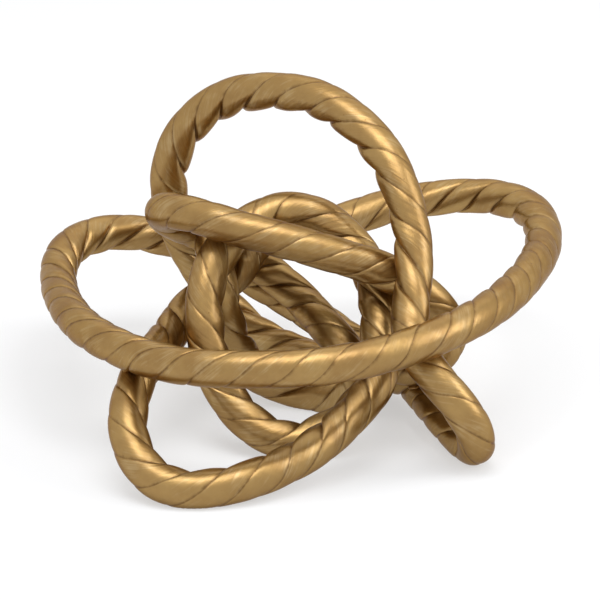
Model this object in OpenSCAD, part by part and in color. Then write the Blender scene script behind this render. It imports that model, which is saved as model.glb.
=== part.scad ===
// Metal knot sculpture: five closed rings of twisted round rod, wound through each other
// and brazed where they touch. Lengths are in millimetres, angles in degrees.
// X runs to the right, Y away from the viewer, Z up. The origin is on the table under the middle.

/* [Rod] */
// Diameter of the rod. The rings touch each other, so the whole knot follows the rod.
rod_diameter = 21; // [12:0.5:42]
// Depth to which the lowest bends are pressed flat, so that the knot stands still
foot_flat = 1.2; // [0.4:0.1:2.5]

/* [Twist] */
// Number of strands that the rod looks twisted from
strands = 3; // [2:1:5]
// Depth of the crease between two strands
crease_depth = 1.4; // [0.2:0.1:3]
// Width of the crease, as a share of one strand
crease_share = 0.3; // [0.1:0.05:0.5]
// Length of rod in which one crease goes once round, in rod diameters
twist_lead = 3.2; // [2:0.1:8]

/* [Braze] */
// Diameter of a braze bead, as a share of the rod diameter
bead_share = 0.56; // [0.3:0.02:0.9]
// Height to which a bead climbs up each rod
bead_reach = 1.2; // [0.5:0.1:3]
// Depth to which a bead has run into the rod's surface
bead_seat = 0.2; // [0.05:0.05:0.6]

/* [Surface] */
// Corners of one strand in the rod's section
strand_corners = 4; // [3:1:8]
// Length of rod between two sections, as a share of the rod diameter
section_share = 0.29; // [0.15:0.01:0.6]

/* [Show] */
// Sub-part to show, or all

/* [Hidden] */

// Route points are in units of which the rod is 21 thick, so at 21 mm rod they are millimetres
route_unit = rod_diameter / 21;
rod_r = rod_diameter / 2;

// Height of a resting rod's axis above the table
rest_height = rod_r - foot_flat;

// A crease never takes more than this share of the rod's radius
crease_limit = 0.3;
crease = min(crease_depth, rod_r * crease_limit);
// Drop of the corners beside a crease, as a share of its depth
crease_shoulder = 0.35;
sides = strands * strand_corners;

// Corner radius at which the faceted rod is as wide as a round one on average
corner_r = rod_r * (1 + 1 / cos(180 / sides)) / 2;

gold = [0.70, 0.55, 0.33];
braze_gold = [0.76, 0.62, 0.38];

// Route points of each ring: X, Y and the height of the axis over that of a resting rod.
// A ring is the smooth closed curve that these points pull along.

belt_route = [
    // left end and back left corner
    [-144, 46, 52],
    [-144, 102, 60],
    [-100, 134, 60],
    // back, behind the tall ring
    [-48, 109, 45],
    [4, 124, 56],
    [48, 146, 68],
    // back right corner and right end
    [106, 154, 74],
    [142, 112, 80],
    [146, 60, 74],
    [136, 8, 76],
    [118, -42, 74],
    // front
    [92, -88, 74],
    [50, -122, 69],
    [6, -140, 67],
    [-56, -134, 65],
    [-88, -97, 57],
    [-123, -56, 59],
    [-136, -4, 56],
];

tall_route = [
    // left side, going up
    [-82, 88, 96],
    [-74, 84, 134],
    // top
    [-44, 74, 162],
    [-14, 52, 170],
    [14, 28, 174],
    [44, 4, 156],
    // right side, going down
    [58, -18, 136],
    [68, -39, 96],
    [60, -62, 72],
    [62, -92, 58],
    // front foot
    [98, -112, 28],
    [102, -92, -6],
    // underside, from the front foot to the rear foot
    [80, -50, 6],
    [72, -6, 2],
    [58, 26, 7],
    [28, 40, 0],
    [6, 64, 0],
    [-24, 90, 0],
    [-50, 100, 24],
    [-70, 96, 58],
];

coil_route = [
    // large turn: front foot and its rise to the right
    [-64, -152, -2],
    [-32, -146, 2],
    [-8, -130, 6],
    [14, -110, 12],
    [32, -88, 24],
    [48, -66, 34],
    [43, -40, 51],
    [47, -13, 69],
    [34, 4, 90],
    // over the top
    [10, 12, 110],
    [-18, 8, 112],
    [-44, -8, 98],
    // small turn: down the left, along the table, up the right
    [-56, -28, 80],
    [-56, -42, 52],
    [-48, -54, 26],
    [-30, -70, 6],
    [-2, -78, -4],
    [24, -68, 8],
    [44, -47, 21],
    [47, -24, 35],
    [47, 2, 54],
    [42, 24, 72],
    // second pass over the top, behind the first
    [18, 34, 90],
    [-6, 28, 102],
    [-28, 20, 92],
    [-33, 25, 65],
    // out to the left and back to the front foot
    [-68, 10, 52],
    [-74, -24, 44],
    [-86, -56, 46],
    [-94, -84, 38],
    [-100, -114, 24],
    [-88, -140, 4],
];

slant_route = [
    // upper left end
    [-86, 14, 110],
    [-64, -12, 116],
    // front, sloping down to the right
    [-36, -30, 112],
    [-6, -34, 106],
    [24, -34, 96],
    [50, -28, 87],
    [74, -26, 71],
    // right end
    [92, -28, 46],
    [69, -25, 22],
    // back, rising to the left
    [48, 1, 20],
    [30, 24, 24],
    [12, 44, 30],
    [-8, 62, 38],
    [-36, 68, 52],
    [-56, 64, 80],
    [-70, 38, 90],
];

inner_route = [
    // left side, going down
    [-45, -10, 70],
    [-46, -14, 58],
    [-40, -4, 34],
    [-30, 8, 10],
    // along the table
    [-8, 11, 0],
    [12, 2, -2],
    // lower right end
    [28, -9, 2],
    [36, -17, 12],
    [31, -16, 27],
    [21, -5, 37],
    // back to the upper left
    [10, 16, 42],
    [-2, 42, 48],
    [-35, 52, 71],
    [-56, 27, 92],
];

// A point of a closed route. The whole part of s picks the stretch, its fraction the place in it.
function weights(t) = [
    pow(1 - t, 3) / 6,
    (3 * pow(t, 3) - 6 * t * t + 4) / 6,
    (-3 * pow(t, 3) + 3 * t * t + 3 * t + 1) / 6,
    pow(t, 3) / 6
];
function drawn_point(r, s) =
    let (n = len(r), i = floor(s), w = weights(s - i))
    w[0] * r[(i - 1 + 2 * n) % n] + w[1] * r[(i + n) % n]
    + w[2] * r[(i + 1 + n) % n] + w[3] * r[(i + 2 + n) % n];
function route_point(r, s) = route_unit * drawn_point(r, s) + [0, 0, rest_height];

function unit(v) = v / norm(v);
function flat_part(v, t) = v - t * (v * t);

// Running length along a route, as pairs of length and place
samples_per_point = 10;
least_sections = 12;
function fine_points(r) = [for (i = [0 : len(r) * samples_per_point]) route_point(r, i / samples_per_point)];
function length_table(p) = [
    for (i = 0, a = 0; i < len(p); a = a + (i + 1 < len(p) ? norm(p[i + 1] - p[i]) : 0), i = i + 1)
    [a, i / samples_per_point]
];

// Points spaced evenly along a route, one section step apart
function even_points(r) =
    let (
        t = length_table(fine_points(r)),
        total = t[len(t) - 1][0],
        n = max(least_sections, round(total / (section_share * rod_diameter)))
    )
    [for (i = [0 : n - 1]) route_point(r, lookup(total * i / n, t))];

function around(p, i) = p[(i + len(p)) % len(p)];
function heading(p, i) = unit(around(p, i + 1) - around(p, i - 1));

// Side vectors carried along the ring without turning about it
function side_vectors(p) = [
    for (
        i = 0, v = unit(flat_part([0, 0, 1], heading(p, 0)));
        i <= len(p);
        i = i + 1, v = unit(flat_part(v, heading(p, i)))
    )
    v
];

// Angle by which the carried vector misses its start after one trip round the ring
function closing_angle(p, v) =
    let (t = heading(p, 0), b = cross(t, v[0]), e = v[len(p)])
    atan2(e * b, e * v[0]);

// Radius of the rod's section at a corner: low in the crease, full on the back of a strand
function section_radius(j) =
    let (u = (j % strand_corners) / strand_corners, d = min(u, 1 - u) / crease_share)
    corner_r - crease * (u == 0 ? 1 : max(0, crease_shoulder * (1 - d)));

// How many strand widths the twist turns in one trip, so that the creases meet at the seam
function strand_steps(p) =
    let (total = len(p) * norm(p[1] - p[0]))
    round(strands * total / (twist_lead * rod_diameter));

function section_points(p) =
    let (
        n = len(p),
        v = side_vectors(p),
        miss = closing_angle(p, v),
        k = strand_steps(p)
    )
    [
        for (i = [0 : n - 1])
        let (b = cross(heading(p, i), v[i]), start = -(k * 360 / strands + miss) * i / n)
        for (j = [0 : sides - 1])
        let (a = start + 360 * j / sides, q = p[i] + section_radius(j) * (cos(a) * v[i] + sin(a) * b))
        [q[0], q[1], max(0, q[2])]
    ];

// Each face joins a corner to the next section's corner that is nearly straight ahead
function skin_faces(p) =
    let (n = len(p), k = strand_steps(p), seam = k * strand_corners)
    [
        for (i = [0 : n - 1])
        for (j = [0 : sides - 1])
        let (
            shift = i == n - 1 ? seam : 0,
            next = (i + 1) % n,
            a = i * sides + j,
            b = i * sides + (j + 1) % sides,
            c = next * sides + (((j - shift) % sides) + sides) % sides,
            d = next * sides + (((j + 1 - shift) % sides) + sides) % sides
        )
        each [[a, b, d], [a, d, c]]
    ];

// The closest places of two routes near a pair of given places, found by a narrowing search.
// Its step starts at search_start of a stretch, shrinks each round and stops below search_end.
search_start = 0.16;
search_end = 0.004;
search_shrink = 0.55;
function gap_at(r1, s1, r2, s2) = norm(route_point(r1, s1) - route_point(r2, s2));
function best_pair(r1, r2, s1, s2, w) =
    let (
        tries = [for (i = [-2 : 2]) for (j = [-2 : 2]) [gap_at(r1, s1 + i * w, r2, s2 + j * w), i, j]],
        low = min([for (t = tries) t[0]]),
        hit = [for (t = tries) if (t[0] == low) t][0]
    )
    w < search_end ? [s1, s2] : best_pair(r1, r2, s1 + hit[1] * w, s2 + hit[2] * w, w * search_shrink);

// Middle of the whole knot in plan, so that the origin stands under it.
// The belt and the coil reach furthest to all four sides.
belt_points = even_points(belt_route);
tall_points = even_points(tall_route);
coil_points = even_points(coil_route);
slant_points = even_points(slant_route);
inner_points = even_points(inner_route);
widest = concat(section_points(belt_points), section_points(coil_points));
middle_x = (min([for (q = widest) q[0]]) + max([for (q = widest) q[0]])) / 2;
middle_y = (min([for (q = widest) q[1]]) + max([for (q = widest) q[1]])) / 2;

// One closed ring of twisted rod
module ring(p) {
    color(gold)
        translate([-middle_x, -middle_y, 0])
            polyhedron(points = section_points(p), faces = skin_faces(p), convexity = 10);
}

// Places its children at m, with their Z along z. A steep z takes its side from X and not from Z.
steep = 0.8;
module stand_at(m, z) {
    x = unit(cross(z, abs(z[2]) < steep ? [0, 0, 1] : [1, 0, 0]));
    y = cross(z, x);
    multmatrix([
        [x[0], y[0], z[0], m[0]],
        [x[1], y[1], z[1], m[1]],
        [x[2], y[2], z[2], m[2]]
    ])
        children();
}

// Room that the rod takes from a bead: a straight piece of rod, set back by the seat depth
room_length = 1.6 * rod_diameter;
direction_step = 0.02;
function direction(r, s) = unit(route_point(r, s + direction_step) - route_point(r, s - direction_step));
module rod_room(r, s) {
    stand_at(route_point(r, s), direction(r, s))
        cylinder(h = room_length, r = rod_r - bead_seat, center = true, $fn = 48);
}

// One braze bead: it fills the narrow wedge round the place where two rods touch
module bead(r1, s1, r2, s2) {
    pair = best_pair(r1, r2, s1, s2, search_start);
    p = route_point(r1, pair[0]);
    q = route_point(r2, pair[1]);
    half = max(0, norm(q - p) / 2 - rod_r) + bead_reach;
    color(braze_gold)
        translate([-middle_x, -middle_y, 0])
            difference() {
                stand_at((p + q) / 2, unit(q - p))
                    cylinder(h = 2 * half, r = bead_share * rod_r, center = true, $fn = 32);
                rod_room(r1, pair[0]);
                rod_room(r2, pair[1]);
            }
}

module belt_ring() {
    ring(belt_points);
}

module tall_ring() {
    ring(tall_points);
}

module double_coil() {
    ring(coil_points);
}

module slant_ring() {
    ring(slant_points);
}

module inner_ring() {
    ring(inner_points);
}

module braze_belt() {
    bead(belt_route, 11.4, tall_route, 9);
    bead(belt_route, 2.8, tall_route, 18.6);
    bead(belt_route, 15.3, coil_route, 28.8);
}

module braze_tall_slant() {
    bead(tall_route, 7.2, slant_route, 5.3);
    bead(tall_route, 13.1, slant_route, 8.4);
}

module braze_coil_turns() {
    bead(coil_route, 5.6, coil_route, 18.3);
    bead(coil_route, 6.5, coil_route, 19.4);
    bead(coil_route, 9.6, coil_route, 23.2);
}

module braze_coil_slant() {
    bead(coil_route, 6.9, slant_route, 5.2);
    bead(coil_route, 11.1, slant_route, 1.6);
    bead(coil_route, 19.1, slant_route, 8.4);
}

module braze_coil_inner() {
    bead(coil_route, 11.6, inner_route, 0.1);
    bead(coil_route, 19, inner_route, 7.9);
    bead(coil_route, 24.7, inner_route, 12.6);
}

module braze_slant_inner() {
    bead(slant_route, 11.3, inner_route, 10.8);
    bead(slant_route, 14.6, inner_route, 12.6);
}

belt_ring();
tall_ring();
double_coil();
slant_ring();
inner_ring();
braze_belt();
braze_tall_slant();
braze_coil_turns();
braze_coil_slant();
braze_coil_inner();
braze_slant_inner();
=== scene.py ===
"""Metal knot sculpture: its visible surfaces, finish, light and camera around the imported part.

Five closed rings of twisted round rod pass through each other and are brazed where they touch.
Lengths in this file are millimetres unless a line says metres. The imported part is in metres.
"""

import logging
import math
from dataclasses import dataclass
from enum import Enum
from typing import Any

import bpy
import numpy as np
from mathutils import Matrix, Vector


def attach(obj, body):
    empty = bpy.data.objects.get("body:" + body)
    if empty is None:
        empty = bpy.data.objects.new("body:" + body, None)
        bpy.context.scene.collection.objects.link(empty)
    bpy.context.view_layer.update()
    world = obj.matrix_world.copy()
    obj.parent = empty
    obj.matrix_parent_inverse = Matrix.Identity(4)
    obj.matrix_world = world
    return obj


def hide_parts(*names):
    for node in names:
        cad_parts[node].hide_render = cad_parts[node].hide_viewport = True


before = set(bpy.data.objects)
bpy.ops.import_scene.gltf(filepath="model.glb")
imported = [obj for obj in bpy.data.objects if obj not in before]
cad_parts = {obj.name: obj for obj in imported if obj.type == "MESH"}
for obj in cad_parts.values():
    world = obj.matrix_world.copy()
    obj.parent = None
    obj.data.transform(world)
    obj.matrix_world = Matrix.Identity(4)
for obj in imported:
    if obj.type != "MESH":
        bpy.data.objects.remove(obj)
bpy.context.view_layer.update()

logging.basicConfig(level=logging.INFO, format="%(name)s: %(message)s")
log = logging.getLogger("knot")

# One millimetre in the part's metres.
MM = 0.001

# Width and height of the photograph in pixels.
PHOTO_PIXELS = 600

WHITE = (1.0, 1.0, 1.0, 1.0)


# Helpers


def srgb(code: str) -> tuple[float, float, float, float]:
    """Turns an sRGB colour into the linear values that shaders read.

    Args:
        code: six hex digits, such as "C8A060".

    Returns:
        Linear red, green and blue, and full opacity.
    """
    parts = [int(code[i : i + 2], 16) / 255 for i in (0, 2, 4)]
    r, g, b = (c / 12.92 if c <= 0.04045 else ((c + 0.055) / 1.055) ** 2.4 for c in parts)
    return (r, g, b, 1.0)


def per_mm(size: float) -> float:
    """Gives the texture scale at which one feature is a real size.

    Args:
        size: size of one feature, in mm.

    Returns:
        Features per metre, because object coordinates are metres.
    """
    return 1.0 / (size * MM)


def empty_tree(owner: bpy.types.Material | bpy.types.World) -> bpy.types.NodeTree:
    """Gives a material or a world an empty node tree.

    Args:
        owner: the material or world.

    Returns:
        Its node tree.
    """
    owner.use_nodes = True
    owner.node_tree.nodes.clear()
    return owner.node_tree


def add_node(
    tree: bpy.types.NodeTree,
    kind: str,
    label: str,
    output: str = "",
    stops: tuple[tuple[float, Any], ...] = (),
    **values: Any,
) -> bpy.types.NodeSocket | None:
    """Adds one shader node with its settings and links.

    Args:
        tree: the node tree to add to.
        kind: the node's type name.
        label: what the node is for, in plain words.
        output: name of the output to hand back, or nothing for the first one in use.
        stops: the two ends of a ramp, each a position with a colour or a grey.
        **values: a name in small letters is a setting of the node. Any other is an input, with _ for
            a space: a socket is linked to it, a list goes to the inputs of that name in turn, None
            leaves it alone, and anything else is set.

    Returns:
        The output, or None if the node has none.
    """
    node = tree.nodes.new(kind)
    node.label = label
    # Settings come first, because they decide which inputs are in use.
    for key in filter(str.islower, values):
        setattr(node, key, values[key])
    for key, value in values.items():
        if key.islower() or value is None:
            continue
        items = value if isinstance(value, list) else [value]
        sockets = [s for s in node.inputs if s.enabled and s.name == key.replace("_", " ")]
        if len(sockets) < len(items):
            raise KeyError(f"{kind} has no {key} for {label}")
        for socket, item in zip(sockets, items):
            if isinstance(item, bpy.types.NodeSocket):
                tree.links.new(item, socket)
            else:
                socket.default_value = item
    if stops:
        for element, (place, colour) in zip(node.color_ramp.elements, stops):
            element.position = place
            element.color = colour if isinstance(colour, tuple) else (colour, colour, colour, 1.0)
    return next((s for s in node.outputs if s.enabled and output in ("", s.name)), None)


def seen_directly(tree: bpy.types.NodeTree) -> bpy.types.NodeSocket:
    """Tells the rays that see a surface as it is from those that only gather light from it.

    Args:
        tree: the node tree.

    Returns:
        A socket that is 1 for the camera, a reflection or a look through glass, and 0 otherwise.
    """
    total = add_node(tree, "ShaderNodeLightPath", "kind of ray", output="Is Camera Ray")
    rays = total.node.outputs
    for label, kind in (("camera or glossy", "Is Glossy Ray"), ("or transmission", "Is Transmission Ray")):
        total = add_node(tree, "ShaderNodeMath", label, operation="MAXIMUM", Value=[total, rays[kind]])
    return total


def add_mesh(
    name: str, points: list[Any], faces: list[Any], material: bpy.types.Material
) -> bpy.types.Mesh:
    """Makes a mesh in one material.

    Args:
        name: the mesh's name.
        points: its points, in metres.
        faces: its faces, each as the numbers of its points.
        material: its finish.

    Returns:
        The new mesh.
    """
    mesh = bpy.data.meshes.new(name)
    mesh.from_pydata(points, [], faces)
    mesh.update()
    mesh.materials.append(material)
    return mesh


def add_object(name: str, data: bpy.types.ID) -> bpy.types.Object:
    """Puts a mesh, lamp or camera into the scene.

    Args:
        name: the object's name.
        data: the mesh, lamp or camera.

    Returns:
        The new object.
    """
    made = bpy.data.objects.new(name, data)
    bpy.context.scene.collection.objects.link(made)
    return made


# The rings' routes


class Ring(Enum):
    """The five closed rings, each with the CAD node it stands for and its route points in mm.

    The points pull a smooth closed curve along. Heights are of the rod's axis above a resting rod's.
    """

    BELT = ("belt_ring", (
        # left end, back, right end, front
        (-144, 46, 52), (-144, 102, 60), (-100, 134, 60), (-48, 109, 45), (4, 124, 56), (48, 146, 68),
        (106, 154, 74), (142, 112, 80), (146, 60, 74), (136, 8, 76), (118, -42, 74), (92, -88, 74),
        (50, -122, 69), (6, -140, 67), (-56, -134, 65), (-88, -97, 57), (-123, -56, 59), (-136, -4, 56),
    ))
    TALL = ("tall_ring", (
        # left side and top, right side, front foot, underside to the rear foot
        (-82, 88, 96), (-74, 84, 134), (-44, 74, 162), (-14, 52, 170), (14, 28, 174), (44, 4, 156),
        (58, -18, 136), (68, -39, 96), (60, -62, 72), (62, -92, 58), (98, -112, 28), (102, -92, -6),
        (80, -50, 6), (72, -6, 2), (58, 26, 7), (28, 40, 0), (6, 64, 0), (-24, 90, 0), (-50, 100, 24),
        (-70, 96, 58),
    ))
    COIL = ("double_coil", (
        # large low turn from the front foot to the right, and over the top
        (-64, -152, -2), (-32, -146, 2), (-8, -130, 6), (14, -110, 12), (32, -88, 24), (48, -66, 34),
        (43, -40, 51), (47, -13, 69), (34, 4, 90), (10, 12, 110), (-18, 8, 112), (-44, -8, 98),
        # small turn down the left, along the table and up the right
        (-56, -28, 80), (-56, -42, 52), (-48, -54, 26), (-30, -70, 6), (-2, -78, -4), (24, -68, 8),
        (44, -47, 21), (47, -24, 35), (47, 2, 54), (42, 24, 72),
        # second pass over the top, then out to the left and back to the front foot
        (18, 34, 90), (-6, 28, 102), (-28, 20, 92), (-33, 25, 65), (-68, 10, 52), (-74, -24, 44),
        (-86, -56, 46), (-94, -84, 38), (-100, -114, 24), (-88, -140, 4),
    ))
    SLANT = ("slant_ring", (
        # upper left end, front, right end, back
        (-86, 14, 110), (-64, -12, 116), (-36, -30, 112), (-6, -34, 106), (24, -34, 96), (50, -28, 87),
        (74, -26, 71), (92, -28, 46), (69, -25, 22), (48, 1, 20), (30, 24, 24), (12, 44, 30),
        (-8, 62, 38), (-36, 68, 52), (-56, 64, 80), (-70, 38, 90),
    ))
    INNER = ("inner_ring", (
        # left side, along the table, lower right end, back to the upper left
        (-45, -10, 70), (-46, -14, 58), (-40, -4, 34), (-30, 8, 10), (-8, 11, 0), (12, 2, -2),
        (28, -9, 2), (36, -17, 12), (31, -16, 27), (21, -5, 37), (10, 16, 42), (-2, 42, 48),
        (-35, 52, 71), (-56, 27, 92),
    ))

    @property
    def node(self) -> str:
        """The CAD node's name."""
        return self.value[0]

    @property
    def number(self) -> int:
        """The ring's place in the list, which picks its random draws."""
        return list(Ring).index(self)


@dataclass(frozen=True)
class Rod:
    """The twisted rod that all rings are bent from.

    Attributes:
        diameter: over the backs of its strands.
        strands: how many strands it looks twisted from.
        lead: length in which one crease goes once round.
        foot_flat: how deep the lowest bends are pressed flat.
        step: length between two sections.
    """

    diameter: float = 21.0
    strands: int = 3
    lead: float = 67.2
    foot_flat: float = 1.2
    step: float = 1.1

    @property
    def radius(self) -> float:
        """Half the diameter."""
        return self.diameter / 2


@dataclass(frozen=True)
class Route:
    """A ring's smooth closed centre line in the part's frame.

    Attributes:
        ring: which ring.
        rod: the rod it is bent from.
        middle: plan position of the knot's middle, which becomes the origin.
        fineness: places per route point at which the curve's length is measured.
    """

    ring: Ring
    rod: Rod
    middle: tuple[float, float] = (0.3, -0.2)
    fineness: int = 60

    @property
    def points(self) -> np.ndarray:
        """The route's points in the part's frame, in mm."""
        shift = np.array([-self.middle[0], -self.middle[1], self.rod.radius - self.rod.foot_flat])
        return np.array(self.ring.value[1], float) + shift

    def at(self, places: np.ndarray) -> np.ndarray:
        """Finds points on the curve.

        Args:
            places: where along it; the whole part picks the stretch.

        Returns:
            One point per place, in mm.
        """
        points = self.points
        first = np.floor(places).astype(int)
        t = (places - first)[:, None]
        weights = (
            (1 - t) ** 3 / 6,
            (3 * t**3 - 6 * t**2 + 4) / 6,
            (-3 * t**3 + 3 * t**2 + 3 * t + 1) / 6,
            t**3 / 6,
        )
        return sum(w * points[(first + k - 1) % len(points)] for k, w in enumerate(weights))

    def evenly(self, step: float) -> tuple[np.ndarray, float]:
        """Spaces points evenly along the curve.

        Args:
            step: wanted distance between points, in mm.

        Returns:
            The points and the curve's length.
        """
        stretches = len(self.points)
        fine = np.linspace(0, stretches, stretches * self.fineness + 1)
        hops = np.linalg.norm(np.diff(self.at(fine), axis=0), axis=1)
        run = np.concatenate([[0], np.cumsum(hops)])
        count = int(round(run[-1] / step))
        even = np.interp(np.arange(count) * run[-1] / count, run, fine)
        return self.at(even), float(run[-1])


# Twisted rod


@dataclass(frozen=True)
class Strand:
    """One strand's shape across its width, from its steep crease at 0 to its gentle one at 1.

    A bend is written as the rod's radius over the bend's own radius. A place on the rod has all of it
    on the inside of the bend, none of it at the sides, and as much below nought on the outside.

    Attributes:
        crease: depth of the crease between two strands on a straight piece.
        steep: share of the width over which the crease's steep side rises.
        gentle: share of the width over which its gentle side falls.
        rounding: how much the gentle side is rounded, 1 for not at all.
        deepening: how much a bend deepens the crease, as a share of its depth.
        least_crease: least share of that depth, which is left outside a bend.
        most_crease: greatest share of that depth, inside a bend.
        pillow: how much a strand's back stands over its sides on a straight piece.
        bulge: how much more it stands out inside a bend, in mm per unit of bend.
        bulge_from: bend at which that starts.
        bulge_span: further bend over which it grows.
        inside_from: share of a section's bend at which its inside starts to bulge.
        inside_span: further share over which the bulge becomes whole.
        lean: how far the back leans towards the steep crease, 1 for not at all.
        fullness: how full the back is, 1 for a plain sine.
        pivot: height of the back that a bulge leaves where it is.
        sink: how far the strand is drawn in, so that its back keeps to the rod's diameter.
        near: places of the corners beside the steep crease.
        back: first place, last place and number of the corners over the back.
        far: places of the corners beside the gentle crease.
    """

    crease: float = 0.6
    steep: float = 0.045
    gentle: float = 0.13
    rounding: float = 1.25
    deepening: float = 4.0
    least_crease: float = 0.5
    most_crease: float = 2.4
    pillow: float = 0.2
    bulge: float = 25.0
    bulge_from: float = 0.01
    bulge_span: float = 0.085
    inside_from: float = 0.3
    inside_span: float = 0.6
    lean: float = 0.75
    fullness: float = 0.8
    pivot: float = 0.4
    sink: float = 0.12
    near: tuple[float, ...] = (0.0, 0.012, 0.028, 0.05, 0.08, 0.12)
    back: tuple[float, float, int] = (0.18, 0.82, 9)
    far: tuple[float, ...] = (0.87, 0.91, 0.945, 0.97, 0.988)

    @property
    def corners(self) -> np.ndarray:
        """Places of a section's corners across one strand, close together beside the creases."""
        return np.concatenate([self.near, np.linspace(*self.back), self.far])

    def section(
        self, rod: Rod, place: np.ndarray, bend: np.ndarray, tight: np.ndarray
    ) -> tuple[np.ndarray, np.ndarray]:
        """Finds the rod's radius across its strands.

        Args:
            rod: the rod.
            place: place across a strand, 0 to 1.
            bend: the bend at that place.
            tight: the most that the bend reaches in its section.

        Returns:
            Radius in mm and a crease value of 0 to 1 for the finish.
        """
        steep = np.exp(-place / self.steep)
        gentle = np.exp(-(((1 - place) / self.gentle) ** self.rounding))
        cut = np.maximum(steep, gentle)
        depth = self.crease * np.clip(1 + self.deepening * bend, self.least_crease, self.most_crease)
        inside = np.clip((bend / tight - self.inside_from) / self.inside_span, 0, 1)
        grown = self.bulge * np.clip(tight - self.bulge_from, 0, self.bulge_span)
        swell = grown * inside**2 * (3 - 2 * inside)
        back = np.sin(math.pi * place**self.lean) ** self.fullness
        radius = rod.radius - depth * cut + self.pillow * back + swell * (back - self.pivot) - self.sink
        return radius, cut


@dataclass(frozen=True)
class Unevenness:
    """A smooth uneven line round a ring that closes on itself, as hand work leaves it.

    Attributes:
        amount: its usual height.
        longest: length of its longest waves, in mm.
        shortest: length of its shortest waves, in mm.
    """

    amount: float
    longest: float
    shortest: float

    def line(self, turn: np.ndarray, length: float, seed: int) -> np.ndarray:
        """Draws the line.

        Args:
            turn: places round the ring, 0 to 1.
            length: the ring's length in mm.
            seed: picks the line.

        Returns:
            Its height at each place.
        """
        fewest = round(length / self.longest)
        most = round(length / self.shortest)
        rng = np.random.default_rng(seed)
        total = np.zeros_like(turn)
        for waves in range(fewest, most):
            total += rng.normal() * np.sin(2 * math.pi * (waves * turn + rng.random()))
        return self.amount * (total / math.sqrt(max(1, most - fewest)))


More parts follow.
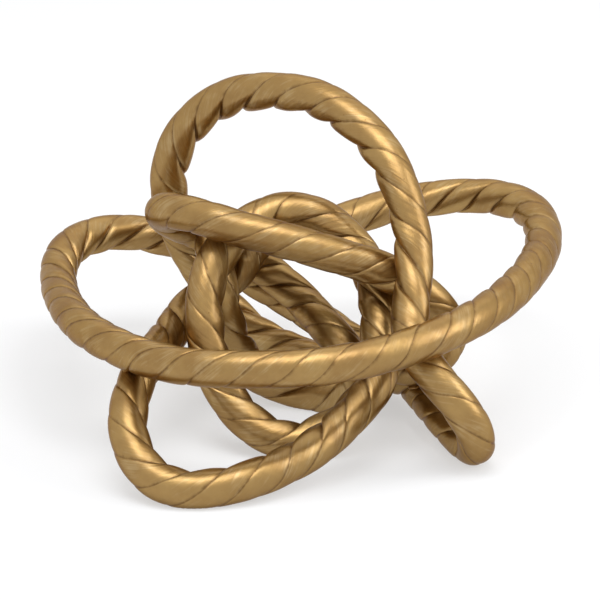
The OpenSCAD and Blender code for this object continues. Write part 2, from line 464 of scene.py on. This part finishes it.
@dataclass(frozen=True)
class TwistedRing:
    """One closed ring of twisted rod, as a fine mesh with real creases.

    Attributes:
        route: its centre line.
        rod: the rod.
        strand: the shape of its strands.
        sway: how far the strands stray round the rod, in radians.
        thickness: how the rod's radius wanders, in mm.
        bend_rows: sections on each side over which a bend is measured.
        least_bend: what a straight piece's bend is taken for, so that nothing is divided by nought.
        seeds: seeds kept for one ring.
    """

    route: Route
    rod: Rod
    strand: Strand = Strand()
    sway: Unevenness = Unevenness(0.16, 190.0, 31.0)
    thickness: Unevenness = Unevenness(0.10, 120.0, 16.0)
    bend_rows: int = 6
    least_bend: float = 1e-6
    seeds: int = 10

    def sides(self, spine: np.ndarray) -> tuple[np.ndarray, np.ndarray, float]:
        """Carries a side vector round the ring without turning it.

        Args:
            spine: evenly spaced points of the centre line.

        Returns:
            Side vectors, those square to them, and the angle missed after one trip, in radians.
        """
        heading = np.roll(spine, -1, 0) - np.roll(spine, 1, 0)
        heading /= np.linalg.norm(heading, axis=1)[:, None]
        carried = [np.array([0.0, 0.0, 1.0])]
        for t in (*heading, heading[0]):
            v = carried[-1] - t * (carried[-1] @ t)
            carried.append(v / np.linalg.norm(v))
        side = np.array(carried[1:-1])
        across = np.cross(heading, side)
        miss = math.atan2(carried[-1] @ np.cross(heading[0], side[0]), carried[-1] @ side[0])
        return side, across, miss

    def bends(self, spine: np.ndarray, length: float) -> np.ndarray:
        """Measures how the centre line bends at each section.

        Args:
            spine: evenly spaced points of the centre line.
            length: its length in mm.

        Returns:
            Vectors towards the inside of the bend, as long as one over the bend's radius.
        """
        before = np.roll(spine, self.bend_rows, 0)
        after = np.roll(spine, -self.bend_rows, 0)
        return (after + before - 2 * spine) / (self.bend_rows * length / len(spine)) ** 2

    def faces(self, rows: int, columns: int, shift: int) -> np.ndarray:
        """Joins each section to the next with four-sided faces.

        Args:
            rows: how many sections the ring has.
            columns: how many corners a section has.
            shift: corners by which the twist has turned the first section when the last one meets it.

        Returns:
            Four point numbers per face.
        """
        here = np.arange(columns)
        beside = (here + 1) % columns
        faces = []
        for row in range(rows):
            following = (row + 1) % rows
            move = shift if following == 0 else 0
            faces.append(np.stack([
                row * columns + here,
                row * columns + beside,
                following * columns + (beside - move) % columns,
                following * columns + (here - move) % columns,
            ], 1))
        return np.concatenate(faces)

    def paint(
        self, mesh: bpy.types.Mesh, cut: np.ndarray, turn: np.ndarray, length: float, steps: int
    ) -> None:
        """Stores the crease depth and coordinates that follow the strands, both on the mesh's points.

        A strand that meets its neighbour at the seam goes on there, so the strands' length is laid
        round a circle that holds as many laps as the strands need to close.

        Args:
            mesh: the ring's mesh.
            cut: crease value of each point.
            turn: place of each section round the ring.
            length: the ring's length in mm.
            steps: strand widths that the twist turns in one trip.
        """
        strands = self.rod.strands
        corners = self.strand.corners
        hop = steps % strands
        laps = 1 if hop == 0 else strands // math.gcd(strands, hop)
        lap = np.zeros(strands)
        for k in range(laps):
            lap[(-k * hop) % strands] = k
        strand = np.repeat(np.arange(strands), len(corners))
        angle = 2 * math.pi * (turn[:, None] + lap[strand][None, :]) / laps
        reach = laps * length * MM / (2 * math.pi)
        width = 2 * math.pi * self.rod.radius / strands * MM
        across = (np.tile(corners, strands) + (strand if hop == 0 else 0)) * width
        circle = reach * np.cos(angle), reach * np.sin(angle)
        spots = np.stack([*circle, np.broadcast_to(across, angle.shape)], -1)
        crease = mesh.attributes.new("crease", "FLOAT", "POINT")
        crease.data.foreach_set("value", cut.reshape(-1).astype(np.float32))
        along = mesh.attributes.new("strand", "FLOAT_VECTOR", "POINT")
        along.data.foreach_set("vector", spots.reshape(-1).astype(np.float32))

    def build(self, material: bpy.types.Material) -> bpy.types.Object:
        """Makes the ring's mesh object.

        Args:
            material: its finish.

        Returns:
            The new object, riding on the part.
        """
        rod, ring, strand = self.rod, self.route.ring, self.strand
        spine, length = self.route.evenly(rod.step)
        turn = np.arange(len(spine)) / len(spine)
        side, across, miss = self.sides(spine)
        steps = int(round(rod.strands * length / rod.lead))
        seed = ring.number * self.seeds
        sway = self.sway.line(turn, length, seed + 1)
        start = -(steps * 2 * math.pi / rod.strands + miss) * turn + sway
        place = np.tile(strand.corners, rod.strands)
        number = np.repeat(np.arange(rod.strands), len(strand.corners))
        angle = start[:, None] + ((number + place) * 2 * math.pi / rod.strands)[None, :]
        out = np.cos(angle)[..., None] * side[:, None] + np.sin(angle)[..., None] * across[:, None]
        bends = self.bends(spine, length)
        bend = np.einsum("ijk,ik->ij", out, bends) * rod.radius
        tight = np.maximum(np.linalg.norm(bends, axis=1)[:, None] * rod.radius, self.least_bend)
        radius, cut = strand.section(rod, np.broadcast_to(place, angle.shape), bend, tight)
        radius = radius + self.thickness.line(turn, length, seed + 2)[:, None]
        points = spine[:, None] + radius[..., None] * out
        points[..., 2] = np.maximum(points[..., 2], 0.0)
        faces = self.faces(len(spine), len(place), steps * len(strand.corners))
        mesh = add_mesh(ring.node, (points.reshape(-1, 3) * MM).tolist(), faces.tolist(), material)
        self.paint(mesh, cut, turn, length, steps)
        mesh.shade_smooth()
        made = add_object("knot_" + ring.node, mesh)
        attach(made, "root")
        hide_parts(ring.node)
        log.info("%s: %.0f mm of rod, %d faces, %d strand steps", ring.node, length, len(faces), steps)
        return made


# Braze


@dataclass(frozen=True)
class Bead:
    """A braze bead between two rods.

    Attributes:
        first: one ring.
        first_place: place along its route.
        second: the other ring.
        second_place: place along the other route.
    """

    first: Ring
    first_place: float
    second: Ring
    second_place: float


class BrazeGroup(Enum):
    """Beads by the CAD node that holds them."""

    BELT = ("braze_belt", (
        Bead(Ring.BELT, 11.4, Ring.TALL, 9.0),
        Bead(Ring.BELT, 2.8, Ring.TALL, 18.6),
        Bead(Ring.BELT, 15.3, Ring.COIL, 28.8),
    ))
    TALL_SLANT = ("braze_tall_slant", (
        Bead(Ring.TALL, 7.2, Ring.SLANT, 5.3),
        Bead(Ring.TALL, 13.1, Ring.SLANT, 8.4),
    ))
    COIL_TURNS = ("braze_coil_turns", (
        Bead(Ring.COIL, 5.6, Ring.COIL, 18.3),
        Bead(Ring.COIL, 6.5, Ring.COIL, 19.4),
        Bead(Ring.COIL, 9.6, Ring.COIL, 23.2),
    ))
    COIL_SLANT = ("braze_coil_slant", (
        Bead(Ring.COIL, 6.9, Ring.SLANT, 5.2),
        Bead(Ring.COIL, 11.1, Ring.SLANT, 1.6),
        Bead(Ring.COIL, 19.1, Ring.SLANT, 8.4),
    ))
    COIL_INNER = ("braze_coil_inner", (
        Bead(Ring.COIL, 11.6, Ring.INNER, 0.1),
        Bead(Ring.COIL, 19.0, Ring.INNER, 7.9),
        Bead(Ring.COIL, 24.7, Ring.INNER, 12.6),
    ))
    SLANT_INNER = ("braze_slant_inner", (
        Bead(Ring.SLANT, 11.3, Ring.INNER, 10.8),
        Bead(Ring.SLANT, 14.6, Ring.INNER, 12.6),
    ))

    @property
    def node(self) -> str:
        """The CAD node's name."""
        return self.value[0]

    @property
    def number(self) -> int:
        """The group's place in the list, which picks its random draws."""
        return list(BrazeGroup).index(self)


@dataclass(frozen=True)
class BrazeMaker:
    """Makes lumpy run-out beads in the narrow places between rods.

    Attributes:
        routes: the rings' centre lines.
        rod: the rod.
        reach: how far a bead spreads from the touching place.
        climb: how high it climbs up each rod there.
        fullness: how full its rim is, 1 for a ball's.
        lump: usual height of a lump, as a share of the reach.
        lump_waves: how many lumps of each size go round.
        lump_turn: how far the lumps are turned at most, in radians.
        level: up to how steep a bead's axis is still taken as level, 1 for upright.
        rings: rows of faces from pole to pole.
        sectors: faces in a row.
        seeds: seeds kept for one group.
        search: how far along its route each touching place is first looked for.
        tries: places tried in that stretch.
        rounds: how often it is looked for again, closer each time.
        narrowing: share of the stretch that is left for the next round.
    """

    routes: dict[Ring, Route]
    rod: Rod
    reach: float = 5.9
    climb: float = 1.35
    fullness: float = 0.55
    lump: float = 0.05
    lump_waves: tuple[int, ...] = (2, 3, 5, 7)
    lump_turn: float = 6.3
    level: float = 0.8
    rings: int = 14
    sectors: int = 28
    seeds: int = 7
    search: float = 0.4
    tries: int = 9
    rounds: int = 10
    narrowing: float = 0.45

    def touching(self, bead: Bead) -> tuple[np.ndarray, np.ndarray]:
        """Finds the closest points of two routes near a bead's places.

        Args:
            bead: the bead.

        Returns:
            A point on each centre line.
        """
        first, second = self.routes[bead.first], self.routes[bead.second]
        s, t, width = bead.first_place, bead.second_place, self.search
        for _ in range(self.rounds):
            near = np.linspace(-width, width, self.tries)
            gaps = np.linalg.norm(first.at(s + near)[:, None] - second.at(t + near)[None], axis=2)
            i, j = np.unravel_index(gaps.argmin(), gaps.shape)
            s, t, width = s + near[i], t + near[j], width * self.narrowing
        return first.at(np.array([s]))[0], second.at(np.array([t]))[0]

    @staticmethod
    def above_floor(point: np.ndarray) -> tuple[float, float, float]:
        """Turns a point in mm to metres, lifted to the floor if it lies under it."""
        return (point[0] * MM, point[1] * MM, max(point[2], 0.0) * MM)

    def shell(self, bead: Bead, seed: int) -> list[tuple[float, float, float]]:
        """Places the points of one bead, from pole to pole.

        Args:
            bead: the bead.
            seed: picks its lumps.

        Returns:
            Its points, in metres.
        """
        p, q = self.touching(bead)
        gap = np.linalg.norm(q - p)
        z = (q - p) / gap
        x = np.cross(z, [0, 0, 1] if abs(z[2]) < self.level else [1, 0, 0])
        x /= np.linalg.norm(x)
        y = np.cross(z, x)
        half = max(0.0, gap / 2 - self.rod.radius) + self.climb
        rng = np.random.default_rng(seed)
        lumps = [(k, rng.normal() * self.lump, rng.random() * self.lump_turn) for k in self.lump_waves]
        middle = (p + q) / 2
        points = [self.above_floor(middle + half * z)]
        for i in range(1, self.rings):
            polar = math.pi * i / self.rings
            flat, high = math.sin(polar) ** self.fullness, math.cos(polar)
            for j in range(self.sectors):
                angle = 2 * math.pi * j / self.sectors
                r = self.reach * flat * (1 + sum(w * math.sin(k * angle + c) for k, w, c in lumps))
                point = middle + r * math.cos(angle) * x + r * math.sin(angle) * y + half * high * z
                points.append(self.above_floor(point))
        points.append(self.above_floor(middle - half * z))
        return points

    def faces(self, base: int) -> list[list[int]]:
        """Joins a bead's points into faces, with a fan round each pole.

        Args:
            base: number of the bead's first point.

        Returns:
            The point numbers of each face.
        """
        faces: list[list[int]] = []
        last = base + (self.rings - 1) * self.sectors + 1
        for j in range(self.sectors):
            k = (j + 1) % self.sectors
            faces.append([base, base + 1 + j, base + 1 + k])
            for i in range(self.rings - 2):
                near = base + 1 + i * self.sectors
                far = near + self.sectors
                faces.append([near + j, far + j, far + k, near + k])
            faces.append([last, last - self.sectors + k, last - self.sectors + j])
        return faces

    def build(self, group: BrazeGroup, material: bpy.types.Material) -> bpy.types.Object:
        """Makes all beads of one CAD node as one object.

        Args:
            group: the node's beads.
            material: their finish.

        Returns:
            The new object, riding on the part.
        """
        points: list[tuple[float, float, float]] = []
        faces: list[list[int]] = []
        for number, bead in enumerate(group.value[1]):
            faces += self.faces(len(points))
            points += self.shell(bead, group.number * self.seeds + number)
        mesh = add_mesh(group.node, points, faces, material)
        mesh.shade_smooth()
        made = add_object("knot_" + group.node, mesh)
        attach(made, "root")
        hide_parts(group.node)
        log.info("%s: %d beads", group.node, len(group.value[1]))
        return made


# Finishes


@dataclass(frozen=True)
class GoldFinish:
    """Cast aluminium under antique gold: gilded, toned brown, rubbed back, lacquered satin, with painted
    crease shade.

    Sizes are of one feature of each pattern. A pair is its length along the strand and its width.

    Attributes:
        name: the material's name.
        rubbed: colour of the palest rubbed streaks.
        light: colour of rubbed metal.
        body: colour of most of the metal.
        toning_and_crease_shade: colour of the brown toning in the pits, and of the toning and painted
            shade in the creases.
        edge: colour of the metal seen at a glancing angle.
        roughness: how satin the metal is.
        smoother: how far under that its smoothest spots lie.
        rougher: how far over it its roughest spots lie.
        lacquer: how much clear lacquer lies over the metal.
        gloss: roughness of the lacquer.
        cloud: clouds of rubbed and plain metal.
        streak: streaks that rubbing leaves.
        patch: patches in which those streaks show.
        painted_shade: uneven edge of the toning and painted shade in a crease.
        smudge: spots of smoother and rougher satin.
        pit: cells that may hold a pit.
        wave: waves of hand work.
        flute: shallow flutes along a strand.
        grain: drawn lines along a strand.
        wave_depth: depth of the waves.
        flute_depth: depth of the flutes.
        grain_depth: depth of the drawn lines.
        pit_depth: depth of the pits.
    """

    name: str = "gilded cast aluminium, satin"
    rubbed: str = "BDA478"
    light: str = "A78751"
    body: str = "967543"
    toning_and_crease_shade: str = "66471F"
    edge: str = "B09676"
    roughness: float = 0.35
    smoother: float = 0.05
    rougher: float = 0.1
    lacquer: float = 0.4
    gloss: float = 0.26
    cloud: float = 26.0
    streak: tuple[float, float] = (16.0, 1.5)
    patch: float = 14.0
    painted_shade: float = 5.0
    smudge: float = 9.0
    pit: float = 12.0
    wave: float = 11.0
    flute: tuple[float, float] = (36.0, 3.4)
    # Real drawn lines are about 0.1 mm wide. They are drawn wider here, so that they show.
    grain: tuple[float, float] = (26.0, 0.7)
    wave_depth: float = 0.25
    flute_depth: float = 0.25
    grain_depth: float = 0.1
    pit_depth: float = 0.1

    @staticmethod
    def lengthwise(size: tuple[float, float]) -> tuple[float, float, float]:
        """Texture scales for a pattern of that length and width in strand coordinates."""
        return (per_mm(size[0]), per_mm(size[0]), per_mm(size[1]))

    def colour(
        self, tree: bpy.types.NodeTree, spot: bpy.types.NodeSocket, along: bpy.types.NodeSocket,
        pits: bpy.types.NodeSocket
    ) -> bpy.types.NodeSocket:
        """Mixes the metal's colour: cloudy gold, paler rubbed streaks, brown toning in the pits, toning
        and painted shade in the creases.

        Args:
            tree: the node tree.
            spot: place on the piece.
            along: place along and across the strands.
            pits: where the pits are.

        Returns:
            The colour.
        """
        clouds = add_node(tree, "ShaderNodeTexNoise", "lacquer clouds", Vector=spot,
                          Scale=per_mm(self.cloud), Detail=4.0, Roughness=0.6)
        gold = add_node(tree, "ShaderNodeValToRGB", "rubbed and plain metal", Fac=clouds,
                        stops=((0.36, srgb(self.body)), (0.66, srgb(self.light))))
        streak_map = add_node(tree, "ShaderNodeMapping", "streaks along a strand", Vector=along,
                              Scale=self.lengthwise(self.streak))
        streaks = add_node(tree, "ShaderNodeTexNoise", "rubbed streaks", Vector=streak_map, Scale=1.0,
                           Detail=4.0, Roughness=0.65)
        patches = add_node(tree, "ShaderNodeTexNoise", "rubbed patches", Vector=spot,
                           Scale=per_mm(self.patch), Detail=3.0, Roughness=0.55)
        worn = add_node(tree, "ShaderNodeMath", "streaks in patches", operation="MULTIPLY",
                        Value=[streaks, patches])
        pale = add_node(tree, "ShaderNodeValToRGB", "how rubbed it is", Fac=worn,
                        stops=((0.26, 0.0), (0.42, 0.5)))
        gold = add_node(tree, "ShaderNodeMix", "streaked metal", data_type="RGBA", Factor=pale, A=gold,
                        B=srgb(self.rubbed))
        # Painted shade: the creases, where shade falls between the strands, are darkened towards brown on
        # top of the toning.
        crease = add_node(tree, "ShaderNodeAttribute", "crease depth", output="Fac",
                          attribute_name="crease")
        ragged = add_node(tree, "ShaderNodeTexNoise", "uneven crease grime", Vector=spot,
                          Scale=per_mm(self.painted_shade), Detail=5.0, Roughness=0.65)
        painted_shade = add_node(tree, "ShaderNodeMath", "grime in the crease", operation="MULTIPLY",
                         Value=[crease, ragged])
        dark = add_node(tree, "ShaderNodeValToRGB", "how dark the crease is", Fac=painted_shade,
                        stops=((0.24, 0.0), (0.55, 0.75)))
        for label, share in (("toning_and_crease_shade", dark), ("dull pits", pits)):
            gold = add_node(tree, "ShaderNodeMix", label, data_type="RGBA", Factor=share, A=gold,
                            B=srgb(self.toning_and_crease_shade))
        return gold

    def relief(
        self, tree: bpy.types.NodeTree, spot: bpy.types.NodeSocket, along: bpy.types.NodeSocket,
        pits: bpy.types.NodeSocket
    ) -> bpy.types.NodeSocket:
        """Adds the relief that is too fine for the mesh: waves, flutes, drawn lines and pits.

        Args:
            tree: the node tree.
            spot: place on the piece.
            along: place along and across the strands.
            pits: where the pits are.

        Returns:
            The surface's normal.
        """
        waves = add_node(tree, "ShaderNodeTexNoise", "hand-worked waves", Vector=spot,
                         Scale=per_mm(self.wave), Detail=2.0, Roughness=0.5)
        flute_map = add_node(tree, "ShaderNodeMapping", "flutes along a strand", Vector=along,
                             Scale=self.lengthwise(self.flute))
        flutes = add_node(tree, "ShaderNodeTexNoise", "flutes", Vector=flute_map, Scale=1.0, Detail=2.0,
                          Roughness=0.5)
        grain_map = add_node(tree, "ShaderNodeMapping", "lengthwise grain", Vector=along,
                             Scale=self.lengthwise(self.grain))
        grain = add_node(tree, "ShaderNodeTexNoise", "drawn lines", Vector=grain_map, Scale=1.0,
                         Detail=3.0, Roughness=0.6)
        normal = None
        for label, height, depth, hollow in (
            ("wave depth", waves, self.wave_depth, False),
            ("flute depth", flutes, self.flute_depth, False),
            ("grain depth", grain, self.grain_depth, False),
            ("pit depth", pits, self.pit_depth, True),
        ):
            normal = add_node(tree, "ShaderNodeBump", label, invert=hollow, Height=height, Strength=1.0,
                              Distance=depth * MM, Normal=normal)
        return normal

    def build(self) -> bpy.types.Material:
        """Makes the material.

        Returns:
            The new material.
        """
        material = bpy.data.materials.new(self.name)
        tree = empty_tree(material)
        spot = add_node(tree, "ShaderNodeTexCoord", "place on the piece", output="Object")
        along = add_node(tree, "ShaderNodeAttribute", "along the strands", output="Vector",
                         attribute_name="strand")
        cells = add_node(tree, "ShaderNodeTexVoronoi", "pit places", output="Distance", Vector=spot,
                         Scale=per_mm(self.pit))
        pits = add_node(tree, "ShaderNodeValToRGB", "pits", Fac=cells, stops=((0.02, 0.5), (0.045, 0.0)))
        smudges = add_node(tree, "ShaderNodeTexNoise", "uneven satin", Vector=spot,
                           Scale=per_mm(self.smudge), Detail=6.0, Roughness=0.65)
        satin = add_node(tree, "ShaderNodeMapRange", "satin range", Value=smudges, From_Min=0.3,
                         From_Max=0.7, To_Min=self.roughness - self.smoother,
                         To_Max=self.roughness + self.rougher)
        # Gilded metal under satin lacquer: broad soft highlights that keep the gold's own colour.
        metal = add_node(tree, "ShaderNodeBsdfPrincipled", "metal",
                         Base_Color=self.colour(tree, spot, along, pits), Metallic=1.0, Roughness=satin,
                         Normal=self.relief(tree, spot, along, pits), Specular_Tint=srgb(self.edge),
                         Coat_Weight=self.lacquer, Coat_Roughness=self.gloss)
        add_node(tree, "ShaderNodeOutputMaterial", "surface", Surface=metal)
        return material


@dataclass(frozen=True)
class BrazeFinish:
    """Run-out braze metal under the same gold: brushed clean, a little rougher, with fine grit.

    Attributes:
        name: the material's name.
        pale: colour of the clean metal.
        dull: colour of the burnt edge.
        roughness: how rough it is.
        burn: size of a burnt patch.
        grit: size of a grain of grit.
        grit_depth: how far the grit stands out.
        grit_strength: how much of that shows.
    """

    name: str = "gilded braze"
    pale: str = "AC8856"
    dull: str = "7A5628"
    roughness: float = 0.42
    burn: float = 4.0
    # Real grit is about 0.2 mm. It is drawn coarser here, so that it shows.
    grit: float = 0.8
    grit_depth: float = 0.12
    grit_strength: float = 0.8

    def build(self) -> bpy.types.Material:
        """Makes the material.

        Returns:
            The new material.
        """
        material = bpy.data.materials.new(self.name)
        tree = empty_tree(material)
        spot = add_node(tree, "ShaderNodeTexCoord", "place on the piece", output="Object")
        burn = add_node(tree, "ShaderNodeTexNoise", "burnt patches", Vector=spot,
                        Scale=per_mm(self.burn), Detail=5.0, Roughness=0.6)
        colour = add_node(tree, "ShaderNodeValToRGB", "clean to burnt", Fac=burn,
                          stops=((0.38, srgb(self.dull)), (0.62, srgb(self.pale))))
        grit = add_node(tree, "ShaderNodeTexNoise", "grit", Vector=spot, Scale=per_mm(self.grit),
                        Detail=4.0, Roughness=0.7)
        normal = add_node(tree, "ShaderNodeBump", "grit depth", Height=grit,
                          Strength=self.grit_strength, Distance=self.grit_depth * MM)
        # Braze that ran and set: small soft glints on a dull, slightly grainy skin.
        metal = add_node(tree, "ShaderNodeBsdfPrincipled", "metal", Base_Color=colour, Metallic=1.0,
                         Roughness=self.roughness, Normal=normal)
        add_node(tree, "ShaderNodeOutputMaterial", "surface", Surface=metal)
        return material


@dataclass(frozen=True)
class FloorFinish:
    """Matt white paper whose shadows show soft, as in a product photograph.

    Attributes:
        name: the material's name.
        colour: the paper's colour.
        roughness: how matt it is.
        lift: share of plain white that the camera and the metal see in it.
    """

    name: str = "white paper"
    colour: str = "F4F5F7"
    roughness: float = 0.9
    lift: float = 0.5

    def build(self) -> bpy.types.Material:
        """Makes the material.

        Returns:
            The new material.
        """
        material = bpy.data.materials.new(self.name)
        tree = empty_tree(material)
        # Uncoated paper: no gloss at all, and an even white that melts into the background.
        paper = add_node(tree, "ShaderNodeBsdfDiffuse", "paper", Color=srgb(self.colour),
                         Roughness=self.roughness)
        white = add_node(tree, "ShaderNodeEmission", "plain white", Color=WHITE, Strength=1.0)
        share = add_node(tree, "ShaderNodeMath", "share of white", operation="MULTIPLY",
                         Value=[seen_directly(tree), self.lift])
        blend = add_node(tree, "ShaderNodeMixShader", "paper and white", Fac=share, Shader=[paper, white])
        add_node(tree, "ShaderNodeOutputMaterial", "surface", Surface=blend)
        return material


# Light and camera


@dataclass(frozen=True)
class Softbox:
    """One soft area light.

    Attributes:
        name: what it does.
        place: its position in metres.
        size: its width and height in metres.
        power: its power in watts.
        aim: the point it looks at, in metres.
    """

    name: str
    place: tuple[float, float, float]
    size: tuple[float, float]
    power: float
    aim: tuple[float, float, float] = (0.0, 0.0, 0.06)

    def build(self) -> bpy.types.Object:
        """Makes the light.

        Returns:
            The new light object.
        """
        data = bpy.data.lights.new(self.name, "AREA")
        data.shape = "RECTANGLE"
        data.size, data.size_y = self.size
        data.energy = self.power
        lamp = add_object(self.name, data)
        lamp.location = self.place
        away = Vector(self.aim) - Vector(self.place)
        lamp.rotation_euler = away.to_track_quat("-Z", "Y").to_euler()
        return lamp


@dataclass(frozen=True)
class Studio:
    """Floor, soft light and the camera at the photograph's angle.

    Attributes:
        aim: the point in the middle of the picture, in mm.
        elevation: the camera's height above the horizon, in degrees.
        distance: the camera's distance, in mm.
        scale: millimetres per photograph pixel at the aim.
        sensor: width of the camera's sensor, in mm.
        clip: nearest and farthest distance that the camera sees, in metres.
        floor_reach: how far the floor goes to each side, in metres.
        grey: brightness of the surroundings as light on the knot, 1 for white.
        boxes: the softboxes.
    """

    aim: tuple[float, float, float] = (-0.6, 5.1, 66.0)
    elevation: float = 19.5
    distance: float = 2750.0
    scale: float = 0.58
    sensor: float = 36.0
    clip: tuple[float, float] = (0.05, 100.0)
    floor_reach: float = 12.0
    grey: float = 0.76
    boxes: tuple[Softbox, ...] = (
        Softbox("overhead key", (0.0, -0.3, 1.1), (0.85, 0.55), 5.6),
        Softbox("right fill", (1.1, -0.2, 0.75), (0.55, 0.9), 5.0),
        Softbox("rear light", (0.1, 1.1, 1.2), (1.6, 0.8), 2.0),
    )

    def world(self) -> None:
        """Sets the surroundings: pale grey as light on the knot, white to the camera and in the metal."""
        world = bpy.data.worlds.new("studio")
        tree = empty_tree(world)
        seen = add_node(tree, "ShaderNodeMix", "white to the camera and in the metal", data_type="RGBA",
                        Factor=seen_directly(tree), A=(self.grey, self.grey, self.grey, 1.0), B=WHITE)
        back = add_node(tree, "ShaderNodeBackground", "surroundings", Color=seen, Strength=1.0)
        add_node(tree, "ShaderNodeOutputWorld", "world", Surface=back)
        bpy.context.scene.world = world

    def floor(self) -> None:
        """Lays the floor."""
        reach = self.floor_reach
        corners = [(-reach, -reach, 0), (reach, -reach, 0), (reach, reach, 0), (-reach, reach, 0)]
        mesh = add_mesh("floor", corners, [(0, 1, 2, 3)], FloorFinish().build())
        add_object("floor", mesh)

    def camera(self) -> None:
        """Sets the camera as in the photograph."""
        data = bpy.data.cameras.new("camera")
        data.sensor_width = self.sensor
        data.lens = self.distance / self.scale / PHOTO_PIXELS * self.sensor
        data.clip_start, data.clip_end = self.clip
        camera = add_object("camera", data)
        angle = math.radians(self.elevation)
        back = Vector((0.0, -math.cos(angle), math.sin(angle)))
        camera.location = Vector(self.aim) * MM + back * self.distance * MM
        camera.rotation_euler = (-back).to_track_quat("-Z", "Y").to_euler()
        bpy.context.scene.camera = camera

    def build(self) -> None:
        """Builds everything that is not the sculpture."""
        self.world()
        self.floor()
        for box in self.boxes:
            box.build()
        self.camera()
        bpy.context.scene.view_settings.view_transform = "Standard"
        log.info("studio: %d softboxes", len(self.boxes))


def main() -> None:
    """Builds the sculpture's surfaces and the studio."""
    rod = Rod()
    routes = {ring: Route(ring, rod) for ring in Ring}
    gold = GoldFinish().build()
    braze = BrazeFinish().build()
    for route in routes.values():
        TwistedRing(route, rod).build(gold)
    maker = BrazeMaker(routes, rod)
    for group in BrazeGroup:
        maker.build(group, braze)
    Studio().build()


if __name__ == "__main__":
    main()
